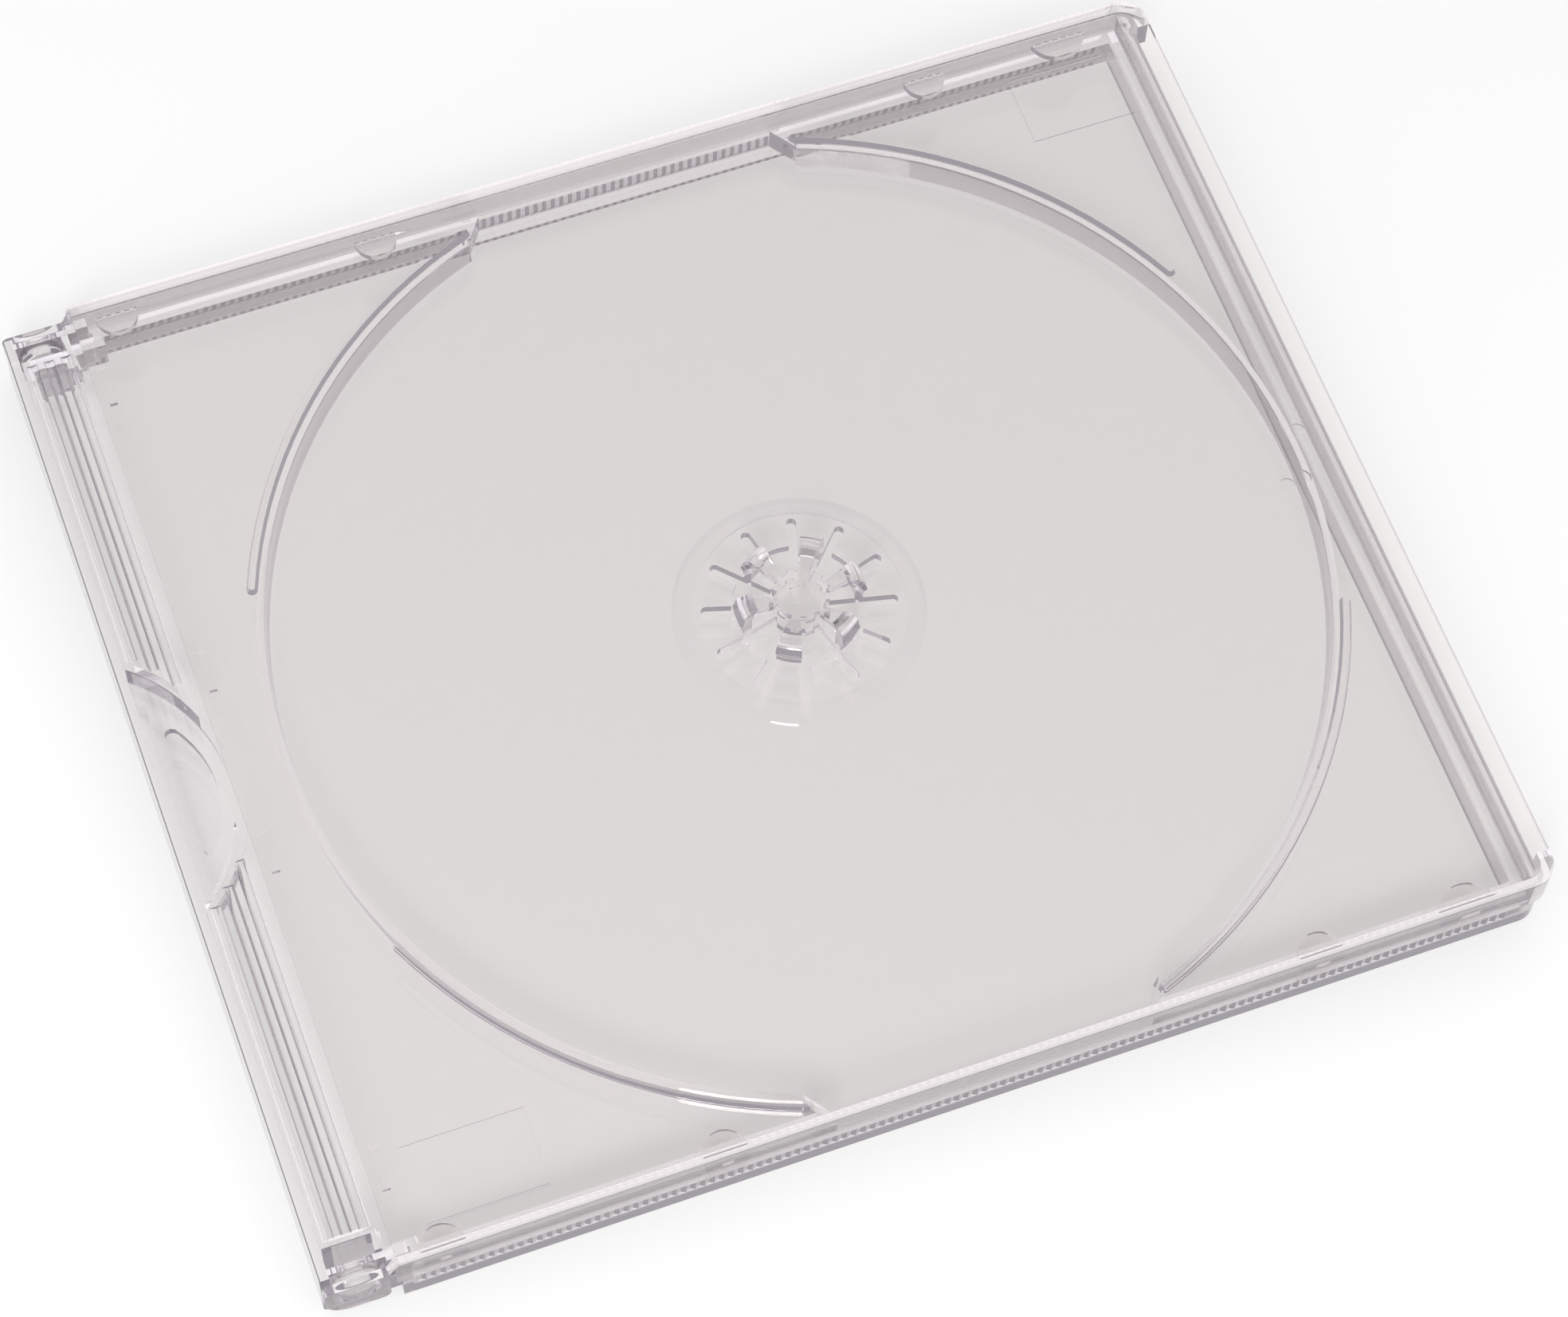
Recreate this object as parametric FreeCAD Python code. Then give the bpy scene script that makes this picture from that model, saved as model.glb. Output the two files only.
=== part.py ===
import FreeCAD, Part
import math
import os

# Clear hinged case for one 120 mm disc: a lid with hinge arms, a back shell and a disc tray.
# All sizes are in millimetres. Every place below is measured from the spine's near bottom
# corner: x along the long side, y away from the near side, z up. The finished solids are
# moved so that the origin is under the middle of the closed case.

# The disc and the room that the case leaves round it
disc_radius = 60.0
disc_thickness = 1.2
disc_play = 0.5            # from the disc's rim to the recess wall
disc_slack = 0.1           # from the disc's upper face to the hub's hooks
side_room = 1.5            # from the recess to the case's near and far sides
bar_room = 8.1             # from the spine bar to the recess
end_room = 5.6             # from the recess to the opening end
running_gap = 0.2          # between mouldings that move past or drop into each other
parting_gap = 0.25         # from the shell's ledge up to the lid's rails

# Lid
lid_wall = 1.2             # flat panel
lid_rail_wall = 1.3        # rails along the near and far sides
lid_corner_radius = 3.0    # at the opening end
lid_hinge_corner_radius = 1.2
rail_turn_length = 2.6     # the rails turn this far round the opening corners

# Hinge
pin_radius = 2.4
pin_clearance = 0.05       # running fit, on the radius
pin_end_chamfer = 0.4
pin_reach = 0.6            # the pin passes this far through its ear
hinge_setback = 3.9        # pin axis from the spine
arm_inset = 0.25           # the arm's outer face lies behind the rail's
arm_below_pin = 3.45       # from the pin's axis to the arm's lower edge
arm_above_pin = 2.45
arm_width = 7.2
arm_neck = 0.7             # slanted step from the arm out to the rail
arm_slope = 1.4            # run of the slope from the arm's top up to the panel
arm_heel_radius = 3.3
arm_toe_radius = 1.0
arm_crest_radius = 0.8
sweep_clearance = 0.3

# Booklet holders under the lid
tab_reach = 2.6
tab_thickness = 0.8
tab_drop = 1.5             # space between the lid and the tabs
tab_width = 5.0
tab_end_width = 6.8
tabs_from_lid_edge = (5.2, 36.7)   # middles of two tabs, from the lid's hinge edge
tab_from_end = 28.0        # middle of the third tab, from the opening end
tab_end_distance = 10.6    # middle of the last, widest tab, from the opening end
stop_width = 0.9
stop_height = 0.6
stop_length = 5.0
stop_offset = 1.0          # from the lid's hinge edge
stop_edge_distance = 8.8   # from the lid's sides to the outer stops
stop_middle_distance = 9.2  # from the middle line to the inner stops

# Back shell
floor_wall = 1.2
rail_wall = 1.2
rail_inset = 0.4           # its sides lie behind the lid's
end_inset = 0.7            # its opening end lies behind the lid's
shell_corner_radius = 2.5
spine_wall = 1.1
spine_drop = 1.2           # from the lid's upper face to the spine's top
spine_chamfer = 0.4        # along the spine's lower edge
end_wall = 1.2
end_to_lid = 0.3           # from the end wall up to the lid's panel
end_corner_radius = 1.0
ear_wall = 1.2
ear_drop = 1.5             # from the lid's upper face to the ear's top
ear_length = 9.8
lead_in_depth = 0.5        # groove that guides the pin down to its hole
lead_in_spread = 1.0

# Serrated grip along the back shell's sides
tooth_pitch = 1.08         # twice that of the real, very fine grip, to keep its faces few
tooth_depth = 0.2
grip_height = 2.2
grip_below_ledge = 0.45
grip_from_hinge = 1.5      # plain rail before the first tooth
grip_from_end = 4.5

# Disc tray
tray_wall = 1.1
card_gap = 0.2             # room under the tray for its card
land_to_tab = 0.3          # from the tray's land up to the booklet tabs
tray_standoff = 0.6        # the recess floor stands this far above the tray's rim level
bar_drop = 1.2             # from the lid's upper face to the bar's top
bar_width = 6.0
bar_to_lid = 1.0
corner_jog = 0.2
recess_draft = 0.4
finger_width = 36.6
finger_flare = 2.3
finger_depth = 5.0

# Raised arcs round the disc
guide_gap = 0.75           # from the recess wall to the arcs
guide_width = 1.3          # at the land
guide_top_width = 0.7
guide_height = 0.7
guide_spans = ((25.0, 70.5), (109.5, 160.0), (205.0, 250.5), (289.5, 340.0))

# Fluted bar beside the spine
flute_width = 1.3
flute_depth = 0.45
flute_count = 3
flute_margin = 2.7         # from the bar's end to the flutes
flute_to_relief = 1.2
pocket_depth = 2.0         # clearance for the hinge pin in the bar's ends
pocket_mouth = 5.0
pocket_flare = 0.3
relief_radius = 19.5
relief_setback = 11.0      # centre of the relief's arc, outside the spine
relief_drop = 0.6          # the bar's low middle lies this far below the land
window_length = 19.0
window_edge = 3.2          # straight side, from the spine
window_bulge = 3.8
window_corner_radius = 0.8

# Hub that clips the disc
seat_rise = 0.9            # above the recess floor
seat_radius = 14.6         # foot of the gentle slope up to the seat
seat_top_radius = 12.2
hub_radius = 7.35
hub_hook = 0.4
hub_hook_rise = 0.6        # from the hook's lower edge to its tip
hub_shoulder_rise = 1.7    # from the hook's tip to the shoulder
hub_tip_rise = 0.7         # from the shoulder to the hub's top
hub_to_lid = 0.6
hub_tip_radius = 6.6
hub_wall = 1.0
button_radius = 3.4
button_drop = 1.3          # below the hub's top
button_mark = 2.0
button_mark_depth = 0.25
finger_count = 6
slot_width = 1.2           # at the round outer end
slot_inner_width = 0.7
slot_start = 3.0
slot_end = 11.3

# Plain frames pressed into the tray's corners, and the gate marks
frame_length = 14.0
frame_width = 9.4
frame_line = 0.25
frame_line_depth = 0.15
frame_from_bar = 5.3
frame_from_end = 1.2
frame_from_side = 2.6
gate_radius = 0.9
gate_depth = 0.2
gate_from_end = 5.2
shell_gate_from_end = 6.4
shell_gate_offset = 2.5    # from the middle line, towards the near side

# Levels and places that follow from the sizes above
recess_radius = disc_radius + disc_play
guide_radius = recess_radius + guide_gap + guide_width / 2
bar_start = spine_wall + running_gap
bar_end = bar_start + bar_width
disc_x = bar_end + bar_room + recess_radius
case_length = disc_x + recess_radius + end_room
case_depth = 2 * (recess_radius + side_room)
middle = case_depth / 2
tray_bottom = floor_wall + card_gap
recess_floor = tray_bottom + tray_wall + tray_standoff
seat_height = recess_floor + seat_rise
hub_hook_bottom = seat_height + disc_thickness + disc_slack
hub_hook_top = hub_hook_bottom + hub_hook_rise
hub_shoulder_height = hub_hook_top + hub_shoulder_rise
hub_top = hub_shoulder_height + hub_tip_rise
button_height = hub_top - button_drop
lid_underside = hub_top + hub_to_lid
case_height = lid_underside + lid_wall
hinge_height = case_height / 2
arm_bottom = hinge_height - arm_below_pin
arm_top = hinge_height + arm_above_pin
spine_height = case_height - spine_drop
ear_height = case_height - ear_drop
bar_height = case_height - bar_drop
end_height = lid_underside - end_to_lid
land_height = lid_underside - tab_drop - tab_thickness - land_to_tab
relief_height = land_height - relief_drop
ear_start = lid_rail_wall + running_gap
ear_end = ear_start + ear_wall
shell_end = case_length - end_inset
shell_top = case_height / 2
parting_height = shell_top + parting_gap
grip_top = shell_top - grip_below_ledge
grip_bottom = grip_top - grip_height
lid_start = bar_end + bar_to_lid
end_wall_outer = shell_end - end_wall
end_wall_inner = end_wall_outer - end_wall
tray_end = end_wall_inner - running_gap
tray_side = rail_inset + rail_wall + running_gap
bar_side = ear_end + running_gap
jog_place = ear_length + running_gap + corner_jog
neck_end = arm_width + arm_neck
overrun = 1.0              # how far a cutting tool passes through a face
touch = 1e-6               # places nearer than this are the same place


def vec(x, y, z):
    return FreeCAD.Vector(x, y, z)


def block(x0, x1, y0, y1, z0, z1):
    return Part.makeBox(x1 - x0, y1 - y0, z1 - z0, vec(x0, y0, z0))


def upright(x, y, z0, z1, radius):
    return Part.makeCylinder(radius, z1 - z0, vec(x, y, z0))


def outline(points):
    """Closed face in the plane of its points, straight from point to point."""
    return Part.Face(Part.makePolygon([vec(*p) for p in points] + [vec(*points[0])]))


def fuse(shapes):
    return shapes[0].multiFuse(shapes[1:]).removeSplitter() if len(shapes) > 1 else shapes[0]


def cut(shape, tools):
    return shape.cut(Part.makeCompound(tools)).removeSplitter()


def far_copy(shape):
    """The same feature on the far side."""
    return shape.mirror(vec(0, middle, 0), vec(0, 1, 0))


def both_sides(shape):
    return [shape, far_copy(shape)]


def round_uprights(solid, places, radius):
    """Rounds the upright edges that stand at the given x, y places."""
    edges = []
    for edge in solid.Edges:
        a, b = edge.Vertexes[0].Point, edge.Vertexes[-1].Point
        if math.hypot(a.x - b.x, a.y - b.y) > touch:
            continue
        if any(math.hypot(a.x - x, a.y - y) < touch for x, y in places):
            edges.append(edge)
    return solid.makeFillet(radius, edges)


# Lid

def lid_plate(x0, x1, inset, z0, z1):
    """Plate of the lid's plan, drawn in by an inset, with its opening corners rounded."""
    plate = block(x0, x1 - inset, inset, case_depth - inset, z0, z1)
    corners = [(x1 - inset, inset), (x1 - inset, case_depth - inset)]
    return round_uprights(plate, corners, lid_corner_radius - inset)


def lid_panel():
    panel = lid_plate(lid_start, case_length, 0, lid_underside, case_height)
    corners = [(lid_start, 0), (lid_start, case_depth)]
    return round_uprights(panel, corners, lid_hinge_corner_radius)


def lid_rails():
    """Two rails that hang from the panel and turn round its opening corners."""
    ring = lid_plate(neck_end, case_length, 0, parting_height, case_height)
    hollow = lid_plate(neck_end - overrun, case_length, lid_rail_wall, parting_height - overrun,
                       case_height + overrun)
    between = block(0, case_length + overrun, lid_rail_wall + rail_turn_length,
                    case_depth - lid_rail_wall - rail_turn_length, 0, case_height + overrun)
    foot = lid_start - arm_slope
    slope = outline([(foot, 0, arm_top), (lid_start, 0, case_height),
                     (lid_start, 0, case_height + overrun), (foot, 0, case_height + overrun)])
    return ring.cut(hollow).cut(between).cut(slope.extrude(vec(0, case_depth, 0)))


def arm_profile(y):
    """Side view of a hinge arm: round heel and toe, low flat crest, neck into the rail."""
    return outline([(0, y, arm_bottom), (arm_width, y, arm_bottom), (arm_width, y, parting_height),
                    (neck_end, y, parting_height), (neck_end, y, lid_underside),
                    (arm_width, y, arm_top), (0, y, arm_top)])


def hinge_pin():
    """Pin that runs from the arm's outer face through the ear, with a chamfered end."""
    end = ear_end + pin_reach
    pin = Part.makeCylinder(pin_radius, end - arm_inset,
                            vec(hinge_setback, arm_inset, hinge_height), vec(0, 1, 0))
    rim = [e for e in pin.Edges if abs(e.BoundBox.YMin - end) < touch and e.BoundBox.YLength < touch]
    return pin.makeChamfer(pin_end_chamfer, rim)


def hinge_arm():
    plate = arm_profile(arm_inset).extrude(vec(0, lid_rail_wall - arm_inset, 0))
    for x, z, radius in ((0, arm_bottom, arm_heel_radius), (arm_width, arm_bottom, arm_toe_radius),
                         (0, arm_top, arm_crest_radius)):
        edges = [e for e in plate.Edges
                 if all(abs(v.Point.x - x) < touch and abs(v.Point.z - z) < touch for v in e.Vertexes)]
        plate = plate.makeFillet(radius, edges)
    neck = outline([(arm_width, arm_inset, parting_height), (neck_end, 0, parting_height),
                    (neck_end, lid_rail_wall, parting_height), (arm_width, lid_rail_wall, parting_height)])
    neck = neck.extrude(vec(0, 0, arm_top - parting_height))
    return fuse([plate, neck, hinge_pin()])


def booklet_tabs():
    """Half-moon tabs on the rails that hold a booklet against the lid."""
    top = lid_underside - tab_drop
    tabs = []
    places = [(lid_start + x, tab_width) for x in tabs_from_lid_edge]
    places += [(case_length - tab_from_end, tab_width), (case_length - tab_end_distance, tab_end_width)]
    for x, width in places:
        chord = width / 2
        sagitta_radius = (chord ** 2 + tab_reach ** 2) / (2 * tab_reach)
        centre_y = lid_rail_wall + tab_reach - sagitta_radius
        moon = upright(x, centre_y, top - tab_thickness, top, sagitta_radius)
        keep = block(x - width, x + width, lid_rail_wall / 2, lid_rail_wall + tab_reach + overrun,
                     top - tab_thickness, top)
        tabs += both_sides(moon.common(keep))
    return tabs


def booklet_stops():
    x = lid_start + stop_offset
    starts = (stop_edge_distance, middle - stop_middle_distance - stop_length)
    stops = []
    for y in starts:
        stops += both_sides(block(x, x + stop_width, y, y + stop_length,
                                  lid_underside - stop_height, lid_underside + lid_wall / 2))
    return stops


def gate_mark(x, y, z):
    """Shallow round hollow in a face that looks down."""
    return upright(x, y, z, z + gate_depth, gate_radius)


def front_cover():
    solid = fuse([lid_panel(), lid_rails()] + both_sides(hinge_arm()) + booklet_tabs()
                 + booklet_stops())
    return cut(solid, [gate_mark(case_length - gate_from_end, middle, lid_underside)])


# Back shell

def arm_sweep():
    """How far from the pin axis the arm's rounded toe reaches."""
    toe_x = arm_width - arm_toe_radius - hinge_setback
    toe_z = hinge_height - arm_bottom - arm_toe_radius
    return math.hypot(toe_x, toe_z) + arm_toe_radius


def shell_plate(x0, x1, inset, z0, z1):
    low, high = rail_inset + inset, case_depth - rail_inset - inset
    plate = block(x0, x1 - inset, low, high, z0, z1)
    return round_uprights(plate, [(x1 - inset, low), (x1 - inset, high)], shell_corner_radius - inset)


def serrated_strip(x0, x1):
    """Bar of upright V grooves that is cut from a rail's outer face."""
    count = int((x1 - x0) / tooth_pitch)
    points = [(x0, rail_inset - overrun, grip_bottom), (x0, rail_inset, grip_bottom)]
    for i in range(count):
        points.append((x0 + (i + 0.5) * tooth_pitch, rail_inset + tooth_depth, grip_bottom))
        points.append((x0 + (i + 1) * tooth_pitch, rail_inset, grip_bottom))
    points.append((x0 + count * tooth_pitch, rail_inset - overrun, grip_bottom))
    return outline(points).extrude(vec(0, 0, grip_top - grip_bottom))


def hinge_ear():
    """Wall at the spine's end with the pin's hole and the groove that leads the pin in."""
    wall = block(0, ear_length, ear_start, ear_end, 0, ear_height)
    hole = Part.makeCylinder(pin_radius + pin_clearance, ear_wall + 2 * overrun,
                             vec(hinge_setback, ear_start - overrun, hinge_height), vec(0, 1, 0))
    half = pin_radius + pin_clearance
    groove = outline([(hinge_setback - half, ear_start, hinge_height),
                      (hinge_setback + half, ear_start, hinge_height),
                      (hinge_setback + half + lead_in_spread, ear_start, ear_height),
                      (hinge_setback - half - lead_in_spread, ear_start, ear_height)])
    groove = groove.extrude(vec(0, lead_in_depth, 0))
    return cut(wall, [hole, groove])


def back_cover():
    rail_start = hinge_setback + arm_sweep() + sweep_clearance
    box = shell_plate(rail_start, shell_end, 0, 0, shell_top)
    inside = shell_plate(0, shell_end, rail_wall, floor_wall, case_height)
    tub = box.cut(inside)
    floor = block(0, rail_start + floor_wall, ear_start, case_depth - ear_start, 0, floor_wall)
    spine = block(0, spine_wall, ear_start, case_depth - ear_start, 0, spine_height)
    high_end = block(end_wall_inner, end_wall_outer, ear_start, case_depth - ear_start,
                     shell_top - end_wall, end_height)
    high_end = round_uprights(high_end, [(end_wall_outer, ear_start),
                                         (end_wall_outer, case_depth - ear_start)], end_corner_radius)
    ledge = shell_plate(rail_start, shell_end, 0, shell_top - end_wall, shell_top)
    ledge = ledge.common(block(end_wall_inner, shell_end, 0, case_depth, 0, case_height))
    solid = fuse([tub, floor, spine, high_end, ledge] + both_sides(hinge_ear()))
    grip = serrated_strip(rail_start + grip_from_hinge, shell_end - grip_from_end)
    corner = outline([(0, 0, 0), (spine_chamfer, 0, 0), (0, 0, spine_chamfer)])
    tools = both_sides(grip) + [corner.extrude(vec(0, case_depth, 0))]
    tools.append(gate_mark(case_length - shell_gate_from_end, middle - shell_gate_offset, 0))
    return cut(solid, tools)


# Disc tray

def tray_plan(inset, z0, z1):
    """Plan of the tray, narrower beside the hinge ears."""
    wide = block(jog_place + inset, tray_end - inset, tray_side + inset,
                 case_depth - tray_side - inset, z0, z1)
    narrow = block(bar_start + inset, tray_end - inset, bar_side + inset,
                   case_depth - bar_side - inset, z0, z1)
    return fuse([wide, narrow])


def pin_pocket(grow):
    """Tapered pocket in the bar's end that clears the hinge pin."""
    half = pocket_mouth / 2 + grow
    depth = bar_side + pocket_depth + grow
    face = outline([(hinge_setback - half, bar_side - overrun, 0),
                    (hinge_setback + half, bar_side - overrun, 0),
                    (hinge_setback + half + pocket_flare, depth, 0),
                    (hinge_setback - half - pocket_flare, depth, 0)])
    return face.extrude(vec(0, 0, case_height))


def recess_tool(grow, floor):
    """Round hollow for the disc, with a slight draft."""
    top = land_height + overrun
    radius = recess_radius + grow
    slope = recess_draft / (land_height - recess_floor)
    low = radius - recess_draft - slope * (recess_floor - floor)
    high = radius + slope * (top - land_height)
    return Part.makeCone(low, high, top - floor, vec(disc_x, middle, floor))


def finger_tool(grow, floor):
    """Low stretch of the side where fingers reach the disc's rim."""
    half = finger_width / 2 + grow
    reach = finger_depth + grow
    outside = tray_side - overrun
    face = outline([(disc_x - half, outside, floor), (disc_x + half, outside, floor),
                    (disc_x + half, tray_side, floor), (disc_x + half + finger_flare, reach, floor),
                    (disc_x, middle, floor), (disc_x - half - finger_flare, reach, floor),
                    (disc_x - half, tray_side, floor)])
    return face.extrude(vec(0, 0, case_height - floor))


def tray_form(inset, bottom):
    """Stepped block of the tray. The moulding is this block less the same block drawn in."""
    land = tray_plan(inset, bottom, land_height - inset)
    bar = block(bar_start + inset, bar_end - inset, bar_side + inset,
                case_depth - bar_side - inset, bottom, bar_height - inset)
    low_bar = upright(-relief_setback, middle, relief_height - inset, case_height,
                      relief_radius + inset)
    floor = recess_floor - inset
    tools = [low_bar, recess_tool(inset, floor)] + both_sides(finger_tool(inset, floor))
    tools += both_sides(pin_pocket(inset))
    return cut(fuse([land, bar]), tools)


def guide_arc(start, end):
    """Raised arc with sloped sides and round ends, standing on the land."""
    low, high = land_height - tray_wall / 2, land_height + guide_height
    slope = (guide_width - guide_top_width) / 2 / guide_height
    side = [(guide_width / 2 + slope * (land_height - low), low), (guide_top_width / 2, high)]
    section = side + [(-r, z) for r, z in reversed(side)]
    axis = vec(0, 0, 1)
    run = outline([(guide_radius + r, 0, z) for r, z in section]).revolve(vec(0, 0, 0), axis, end - start)
    half_section = [(0, low)] + side + [(0, high)]
    cap = outline([(guide_radius + r, 0, z) for r, z in half_section])
    first = cap.revolve(vec(guide_radius, 0, 0), axis, -180)
    last = cap.revolve(vec(guide_radius, 0, 0), axis, 180)
    last.rotate(vec(0, 0, 0), axis, end - start)
    arc = fuse([run, first, last])
    arc.rotate(vec(0, 0, 0), axis, start)
    arc.translate(vec(disc_x, middle, 0))
    return arc


def flute(x, y0, y1):
    """Long round-bottomed groove in the bar's top."""
    half = flute_width / 2
    radius = (half ** 2 + flute_depth ** 2) / (2 * flute_depth)
    level = bar_height - flute_depth + radius
    return Part.makeCylinder(radius, y1 - y0, vec(x, y0, level), vec(0, 1, 0))


def flutes():
    """Grooves that stop short of the low middle of the bar."""
    pitch = bar_width / flute_count
    start = bar_side + flute_margin
    grooves = []
    for i in range(flute_count):
        x = bar_start + (i + 0.5) * pitch
        reach = math.sqrt((relief_radius + flute_to_relief) ** 2 - (relief_setback + x) ** 2)
        grooves += both_sides(flute(x, start, middle - reach))
    return grooves


def bar_window():
    """Window with one straight and one bulging side in the low middle of the bar."""
    half = window_length / 2
    edge = window_edge
    arc = Part.Arc(vec(edge, middle + half, 0), vec(edge + window_bulge, middle, 0),
                   vec(edge, middle - half, 0)).toShape()
    line = Part.makeLine(vec(edge, middle - half, 0), vec(edge, middle + half, 0))
    tool = Part.Face(Part.Wire([line, arc])).extrude(vec(0, 0, case_height))
    corners = [(edge, middle - half), (edge, middle + half)]
    return round_uprights(tool, corners, window_corner_radius)


def hub_ring():
    """Clip of the hub before its slots: a wall with a hook, a raised rim and a button."""
    inner = hub_radius - hub_wall
    rim = hub_tip_radius - hub_wall / 2
    points = [(0, button_height), (button_radius, button_height), (rim, hub_top),
              (hub_tip_radius, hub_top), (hub_radius, hub_shoulder_height),
              (hub_radius + hub_hook, hub_hook_top), (hub_radius, hub_hook_bottom),
              (hub_radius, recess_floor), (inner, recess_floor), (inner, hub_shoulder_height - hub_wall),
              (rim - hub_wall / 2, hub_top - hub_wall), (button_radius, button_height - hub_wall),
              (0, button_height - hub_wall)]
    return outline([(r, 0, z) for r, z in points]).revolve(vec(0, 0, 0), vec(0, 0, 1), 360)


def wedge(angle, width_degrees, r0, r1, z0, z1):
    """Sector of a ring about the hub's axis, centred on an angle."""
    ring = Part.makeCylinder(r1, z1 - z0, vec(0, 0, z0), vec(0, 0, 1), width_degrees)
    ring = ring.cut(Part.makeCylinder(r0, z1 - z0, vec(0, 0, z0), vec(0, 0, 1), 360))
    ring.rotate(vec(0, 0, 0), vec(0, 0, 1), angle - width_degrees / 2)
    return ring


def hub_slot(angle):
    """Slot that widens from under the button to a round outer end."""
    half, inner = slot_width / 2, slot_inner_width / 2
    sides = outline([(slot_start, -inner, 0), (slot_end - half, -half, 0),
                     (slot_end - half, half, 0), (slot_start, inner, 0)])
    slot = fuse([sides.extrude(vec(0, 0, case_height)),
                 upright(slot_end - half, 0, 0, case_height, half)])
    slot.rotate(vec(0, 0, 0), vec(0, 0, 1), angle)
    return slot


def seat_cone(drop):
    """Gentle slope up from the recess floor to the seat under the disc's middle."""
    return Part.makeCone(seat_radius, seat_top_radius, seat_rise, vec(0, 0, recess_floor - drop))


def at_disc(shape):
    shape.translate(vec(disc_x, middle, 0))
    return shape


def hub_openings():
    """Slots on both sides of each finger, and the open sectors between the fingers."""
    step = 360.0 / finger_count
    tools = []
    for i in range(finger_count):
        tools += [hub_slot(i * step + step / 4), hub_slot(i * step - step / 4)]
        tools.append(wedge(i * step + step / 2, step / 2, button_radius, hub_radius + hub_hook,
                           0, case_height))
    return tools


def plain_frame(x, y):
    """Thin pressed line round a plain oblong."""
    outer = block(x, x + frame_length, y, y + frame_width, land_height - frame_line_depth, case_height)
    inner = block(x + frame_line, x + frame_length - frame_line, y + frame_line,
                  y + frame_width - frame_line, 0, case_height)
    return outer.cut(inner)


def disc_tray():
    skin = tray_form(0, tray_bottom).cut(tray_form(tray_wall, tray_bottom - overrun))
    arcs = [guide_arc(start, end) for start, end in guide_spans]
    solid = fuse([skin] + arcs + [at_disc(seat_cone(0))])
    solid = solid.cut(at_disc(seat_cone(tray_wall)))
    solid = fuse([solid, at_disc(hub_ring())])
    mark = block(-button_mark / 2, button_mark / 2, -button_mark / 2, button_mark / 2,
                 button_height - button_mark_depth, case_height)
    tools = [at_disc(tool) for tool in hub_openings() + [mark]]
    tools += flutes() + [bar_window()]
    tools.append(plain_frame(bar_end + frame_from_bar, tray_side + frame_from_side))
    tools.append(plain_frame(tray_end - frame_length - frame_from_end,
                             case_depth - tray_side - frame_from_side - frame_width))
    return cut(solid, tools)


def write(name, solid):
    """Moves a finished solid to the case's own origin and writes it."""
    solid.translate(vec(-case_length / 2, -middle, 0))
    solid = solid.Solids[0] if len(solid.Solids) == 1 else solid
    print(name, "solids", len(solid.Solids), "valid", solid.isValid(), "volume", round(solid.Volume, 1))
    solid.exportStep(f"parts/{name}.step")


os.makedirs("parts", exist_ok=True)
write("front_cover", front_cover())
write("back_cover", back_cover())
write("disc_tray", disc_tray())
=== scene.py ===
import math
import bpy
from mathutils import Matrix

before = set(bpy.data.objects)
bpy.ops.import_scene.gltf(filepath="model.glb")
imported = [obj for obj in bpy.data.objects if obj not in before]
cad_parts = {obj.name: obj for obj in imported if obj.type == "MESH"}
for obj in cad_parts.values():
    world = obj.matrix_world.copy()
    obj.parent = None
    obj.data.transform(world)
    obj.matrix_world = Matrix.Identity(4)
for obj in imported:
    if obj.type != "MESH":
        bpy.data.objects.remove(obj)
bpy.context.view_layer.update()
print("frame loaded:", ", ".join(sorted(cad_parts)))


# sRGB hex to the linear colour that the shaders use
def linear(hexColour):
    channels = [int(hexColour[i:i + 2], 16) / 255 for i in (1, 3, 5)]
    return [c / 12.92 if c <= 0.04045 else ((c + 0.055) / 1.055) ** 2.4 for c in channels] + [1]


# Adds one node, fills its sockets and wires it up. A link is a node or (node, socket),
# and its name is the socket's own with _ for each space, or n and the socket's number.
def addNode(tree, kind, settings=None, **links):
    node = tree.nodes.new(kind)
    for key, value in (settings or {}).items():
        if isinstance(key, int) or key in node.inputs:
            node.inputs[key].default_value = value
        else:
            setattr(node, key, value)
    for name, source in links.items():
        origin, out = source if isinstance(source, tuple) else (source, 0)
        slot = int(name[1:]) if name[0] == "n" and name[1:].isdigit() else name.replace("_", " ")
        tree.links.new(origin.outputs[out], node.inputs[slot])
    return node


white = linear("#ffffff")


# A material with nothing in it yet, and its tree
def emptyMaterial(name):
    material = bpy.data.materials.new(name)
    material.use_nodes = True
    material.node_tree.nodes.clear()
    return material, material.node_tree


# Crystal polystyrene, the same in all three mouldings. Lengths are in metres.
polystyrene = {
    "ior": 1.59,
    "roughness": 0.0,             # a polished mould leaves no haze
    "rippleSize": 0.030,          # slow waves that the mould's flow leaves in the walls
    "rippleHeight": 0.000004,
    "rippleDetail": 1.0,
    "paintedGlowColour": "#cdc8d4",   # painted glow: where a ray has been mirrored inside the walls the plastic glows pale mauve
    "paintedGlowStrength": 0.12,          # how strongly that painted glow shines, standing in for light gathered past the last bounce
    "trappedAfter": 1.5,          # it is trapped once it has been mirrored more often than this
}

# What each moulding adds. The wall colour is painted shade: every upright face is coloured greyer than
# the flats, so that walls and steps draw as darker lines. wallShade is the lamp light that goes
# straight on through an upright face.
mouldings = {
    "front_cover": {
        "name": "Lid, polished clear polystyrene",
        "colour": "#fcf9f9",
        "wallPaintedShade": "#c8c3c5",
        "wallShade": 0.88,
    },
    "back_cover": {
        "name": "Back, polished clear polystyrene",
        "colour": "#fdfbfb",
        "wallPaintedShade": "#cbc6c9",
        "wallShade": 0.95,
    },
    "disc_tray": {
        "name": "Tray, polished clear polystyrene",
        "colour": "#fefdfd",
        "wallPaintedShade": "#dad5d9",      # light, so that the flutes and the raised arcs stay fine
        "wallShade": 0.82,
    },
}
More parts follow.
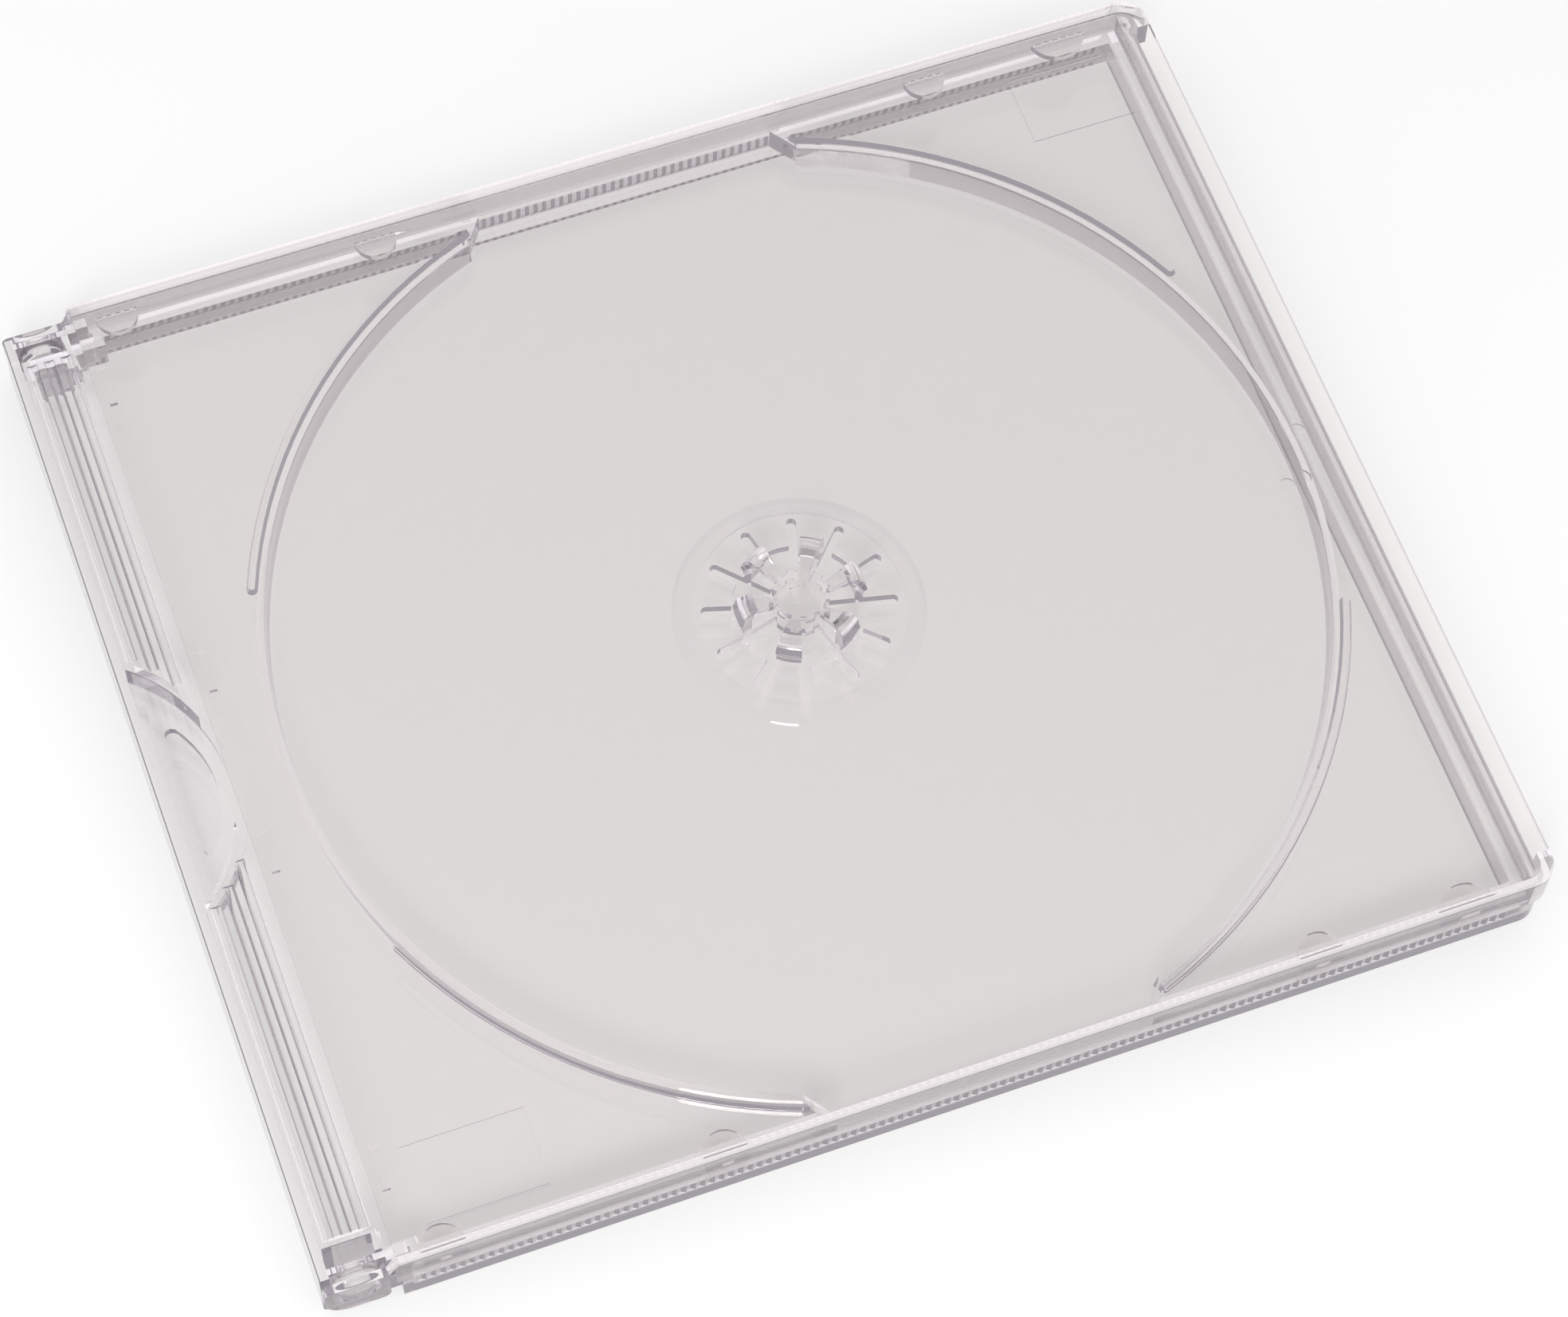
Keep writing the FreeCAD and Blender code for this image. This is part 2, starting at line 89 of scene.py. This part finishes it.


# Mould-polished polystyrene: clear as glass over the flats, with painted shade that makes every wall
# and step greyer, whose glossy faces pick them out as a light and a dark line, and a painted pale
# mauve glow once a ray is mirrored twice
def clearPolystyrene(piece):
    material, tree = emptyMaterial(piece["name"])
    values = polystyrene
    place = addNode(tree, "ShaderNodeTexCoord")
    normal = addNode(tree, "ShaderNodeSeparateXYZ", n0=(place, "Normal"))
    level = addNode(tree, "ShaderNodeMath", {"operation": "ABSOLUTE"}, n0=(normal, "Z"))
    # painted shade: an upright face gets the darker wall colour, a flat face the moulding's own
    # colour, a slope a blend
    tintAndPaintedShade = addNode(tree, "ShaderNodeMix",
                   {"data_type": "RGBA", 6: linear(piece["wallPaintedShade"]), 7: linear(piece["colour"])},
                   n0=level)
    waves = addNode(tree, "ShaderNodeTexNoise",
                    {"Scale": 1 / values["rippleSize"], "Detail": values["rippleDetail"]},
                    Vector=(place, "Object"))
    bump = addNode(tree, "ShaderNodeBump", {"Strength": 1.0, "Distance": values["rippleHeight"]},
                   Height=waves)
    path = addNode(tree, "ShaderNodeLightPath")
    # painted glow: once a ray has been mirrored more often than trappedAfter, the plastic gives off
    # pale mauve light
    trapped = addNode(tree, "ShaderNodeMath", {"operation": "GREATER_THAN", 1: values["trappedAfter"]},
                      n0=(path, "Glossy Depth"))
    glow = addNode(tree, "ShaderNodeMath", {"operation": "MULTIPLY", 1: values["paintedGlowStrength"]},
                   n0=trapped)
    plastic = addNode(tree, "ShaderNodeBsdfPrincipled",
                      {"IOR": values["ior"], "Roughness": values["roughness"],
                       "Transmission Weight": 1.0, "Emission Color": linear(values["paintedGlowColour"])},
                      Base_Color=(tintAndPaintedShade, 2), Normal=bump, Emission_Strength=glow)
    # an upright face throws lamp light aside, so slots and walls draw themselves on the table
    walled = [piece["wallShade"]] * 3 + [1]
    through = addNode(tree, "ShaderNodeMix", {"data_type": "RGBA", 6: walled, 7: white}, n0=level)
    passing = addNode(tree, "ShaderNodeBsdfTransparent", Color=(through, 2))
    both = addNode(tree, "ShaderNodeMixShader", n0=(path, "Is Shadow Ray"), n1=plastic, n2=passing)
    addNode(tree, "ShaderNodeOutputMaterial", Surface=both)
    material.cycles.emission_sampling = "NONE"
    return material


# Gives a CAD node its finish in every material slot
def dress(node, material):
    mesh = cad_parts[node].data
    for i in range(len(mesh.materials)):
        mesh.materials[i] = material
    if not mesh.materials:
        mesh.materials.append(material)


for node, piece in mouldings.items():
    dress(node, clearPolystyrene(piece))
print("mouldings dressed")


# The white table and room
studio = {
    "floorSize": 8.0,
    "floorDrop": 0.0002,          # the case stands this far above the floor, on its own unevenness
    "floorColour": "#f6f5f5",
    "floorLift": 0.38,            # how much of the floor's white comes from the backdrop itself
    "skyForLight": 0.55,          # what the surroundings add to the lamp
    "cardRadius": 0.75,           # dark cards that give clear plastic its dark edges
    "cardHeight": 0.32,
    "cardSides": 48,
    "cardColour": "#3f3850",      # at the table, fading to the room's white at their tops
}


# 1 for the camera and for mirrored and bent rays, 0 for the light that falls on things
def seenDirectly(tree):
    path = addNode(tree, "ShaderNodeLightPath")
    first = addNode(tree, "ShaderNodeMath", {"operation": "MAXIMUM"},
                    n0=(path, "Is Camera Ray"), n1=(path, "Is Glossy Ray"))
    return addNode(tree, "ShaderNodeMath", {"operation": "MAXIMUM"},
                   n0=first, n1=(path, "Is Transmission Ray"))


# Seamless white paper under the case, which still takes its soft shadow
def paperFloor():
    material, tree = emptyMaterial("Seamless paper, matt white")
    paper = addNode(tree, "ShaderNodeBsdfDiffuse", {"Color": linear(studio["floorColour"])})
    backdrop = addNode(tree, "ShaderNodeEmission", {"Color": white, "Strength": 1.0})
    lift = addNode(tree, "ShaderNodeMath", {"operation": "MULTIPLY", 1: studio["floorLift"]},
                   n0=seenDirectly(tree))
    both = addNode(tree, "ShaderNodeMixShader", n0=lift, n1=paper, n2=backdrop)
    addNode(tree, "ShaderNodeOutputMaterial", Surface=both)
    bpy.ops.mesh.primitive_plane_add(size=studio["floorSize"], location=(0, 0, -studio["floorDrop"]))
    floor = bpy.context.object
    floor.name = "paper_floor"
    floor.data.materials.append(material)


# A low ring of dark card round the table. Only what is mirrored or bent in the plastic meets it.
def darkCards():
    material, tree = emptyMaterial("Dark card, matt")
    place = addNode(tree, "ShaderNodeTexCoord")
    height = addNode(tree, "ShaderNodeSeparateXYZ", n0=(place, "Object"))
    half = studio["cardHeight"] / 2
    fade = addNode(tree, "ShaderNodeMapRange", {"From Min": -half, "From Max": half}, n0=(height, "Z"))
    shade = addNode(tree, "ShaderNodeMix",
                    {"data_type": "RGBA", 6: linear(studio["cardColour"]), 7: white}, n0=fade)
    card = addNode(tree, "ShaderNodeEmission", {"Strength": 1.0}, Color=(shade, 2))
    addNode(tree, "ShaderNodeOutputMaterial", Surface=card)
    bpy.ops.mesh.primitive_cylinder_add(vertices=studio["cardSides"], radius=studio["cardRadius"],
                                        depth=studio["cardHeight"], end_fill_type="NOTHING",
                                        location=(0, 0, half))
    ring = bpy.context.object
    ring.name = "dark_cards"
    ring.data.materials.append(material)
    ring.visible_camera = False
    ring.visible_diffuse = False
    ring.visible_shadow = False


# White surroundings for the eye, weaker for the light that falls on the floor
def brightRoom():
    world = bpy.data.worlds.new("Bright room")
    bpy.context.scene.world = world
    world.use_nodes = True
    tree = world.node_tree
    tree.nodes.clear()
    level = addNode(tree, "ShaderNodeMapRange", {"To Min": studio["skyForLight"], "To Max": 1.0},
                    n0=seenDirectly(tree))
    sky = addNode(tree, "ShaderNodeBackground", {"Color": white}, Strength=level)
    addNode(tree, "ShaderNodeOutputWorld", Surface=sky)


# Low on the near left, as the slots' shadows under the hub show
keyLamp = {
    "place": (-0.38, -0.70, 0.77),
    "size": 0.28,
    "watts": 10.5,
}


# A square lamp that faces the case
def softbox(name, values):
    light = bpy.data.lights.new(name, "AREA")
    light.size = values["size"]
    light.energy = values["watts"]
    lamp = bpy.data.objects.new(name, light)
    bpy.context.scene.collection.objects.link(lamp)
    lamp.location = values["place"]
    lamp.rotation_euler = (-lamp.location).to_track_quat("-Z", "Y").to_euler()


paperFloor()
darkCards()
brightRoom()
softbox("key", keyLamp)
print("studio built")


# Looks down on the case from the near left
viewpoint = {
    "place": (-0.09304, -0.22458, 0.46592),
    "turn": (27.253, -1.584, -20.162),    # in degrees
    "lens": 105.5,                # in mm, as the sensor
    "sensor": 36.0,
    "nearest": 0.01,
}
camera = bpy.data.objects.new("camera", bpy.data.cameras.new("camera"))
bpy.context.scene.collection.objects.link(camera)
camera.location = viewpoint["place"]
camera.rotation_euler = [math.radians(a) for a in viewpoint["turn"]]
camera.data.lens = viewpoint["lens"]
camera.data.sensor_width = viewpoint["sensor"]
camera.data.sensor_fit = "HORIZONTAL"
camera.data.clip_start = viewpoint["nearest"]
bpy.context.scene.camera = camera
print("camera placed")


# Enough bounces for three mouldings with two faces each. The white floor needs none of its own.
bounces = {
    "max_bounces": 9,
    "transmission_bounces": 9,
    "glossy_bounces": 4,
    "diffuse_bounces": 0,
    "transparent_max_bounces": 32,
}
scene = bpy.context.scene
scene.view_settings.view_transform = "Standard"
for kind, count in bounces.items():
    setattr(scene.cycles, kind, count)
